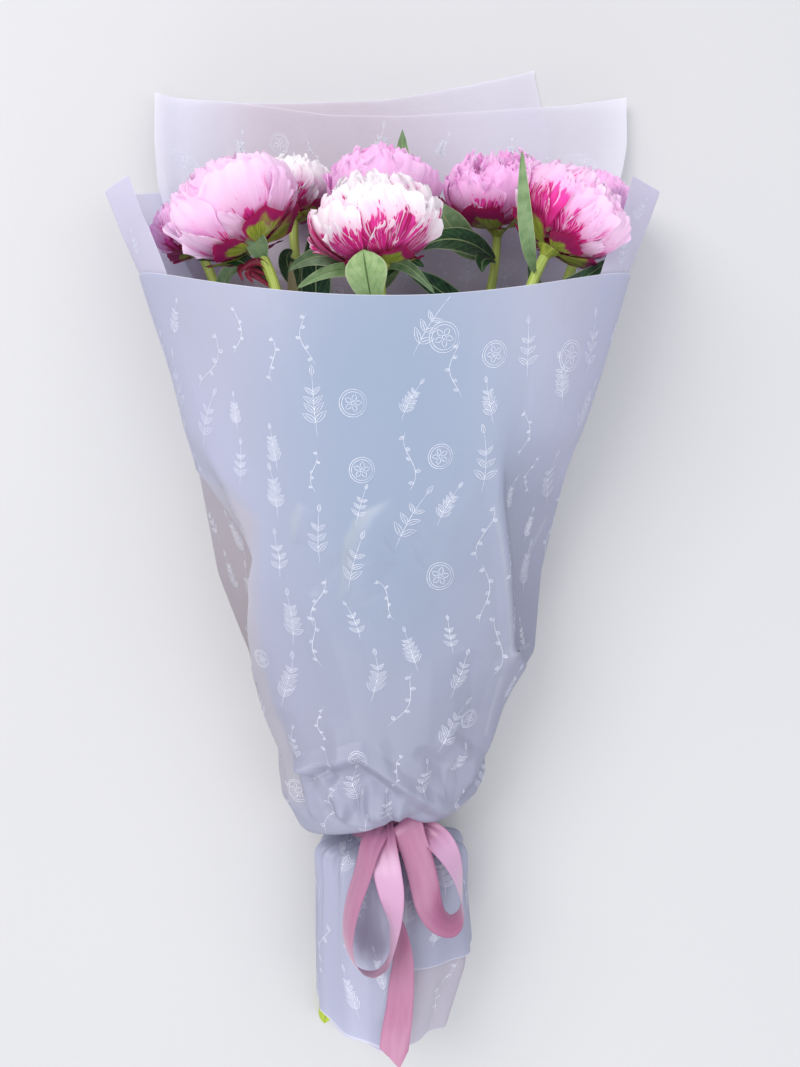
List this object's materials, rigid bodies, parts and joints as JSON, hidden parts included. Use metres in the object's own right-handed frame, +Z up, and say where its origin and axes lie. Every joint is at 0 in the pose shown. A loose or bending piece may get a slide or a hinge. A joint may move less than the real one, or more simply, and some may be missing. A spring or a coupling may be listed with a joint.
{
  "type": "bunch of peonies",
  "caption": "Bunch of double peonies with leafy stems in a cone of frosted film wrap, gathered at the neck by a satin ribbon bow, lying on its back.",
  "frame": {"origin": "middle of the underside that the bunch lies on, at the centre of its outline", "axes": "+Y from the cut stem ends to the flower heads, +Z up out of the surface through the front sheet, +X to the right seen from above"},
  "size_m": [0.4376, 0.814, 0.1814],
  "materials": {
    "film_front": "frosted translucent film",
    "film_side": "frosted translucent film",
    "film_back": "frosted translucent film",
    "ribbon_satin": "satin weave",
    "binding_raffia": "raffia",
    "stem_green": "living green stem and leaf",
    "petal_pink": "soft petal",
    "petal_pale": "soft petal",
    "petal_white": "soft petal"
  },
  "bodies": {
    "root": {"film_back_far": "film_back", "film_back_near": "film_back", "film_side_wrap": "film_side", "film_front": "film_front", "ribbon_bow": "ribbon_satin", "stem_binding": "binding_raffia", "peony_1_stem": "stem_green", "peony_1_bloom": "petal_pink", "peony_2_stem": "stem_green", "peony_2_bloom": "petal_pale", "peony_3_stem": "stem_green", "peony_3_bloom": "petal_white", "peony_4_stem": "stem_green", "peony_4_bloom": "petal_pink", "peony_5_stem": "stem_green", "peony_5_bloom": "petal_white", "peony_6_stem": "stem_green", "peony_6_bloom": "petal_pink", "peony_7_stem": "stem_green", "peony_7_bloom": "petal_pale", "peony_8_stem": "stem_green", "peony_8_bloom": "petal_pink"}
  },
  "joints": []
}
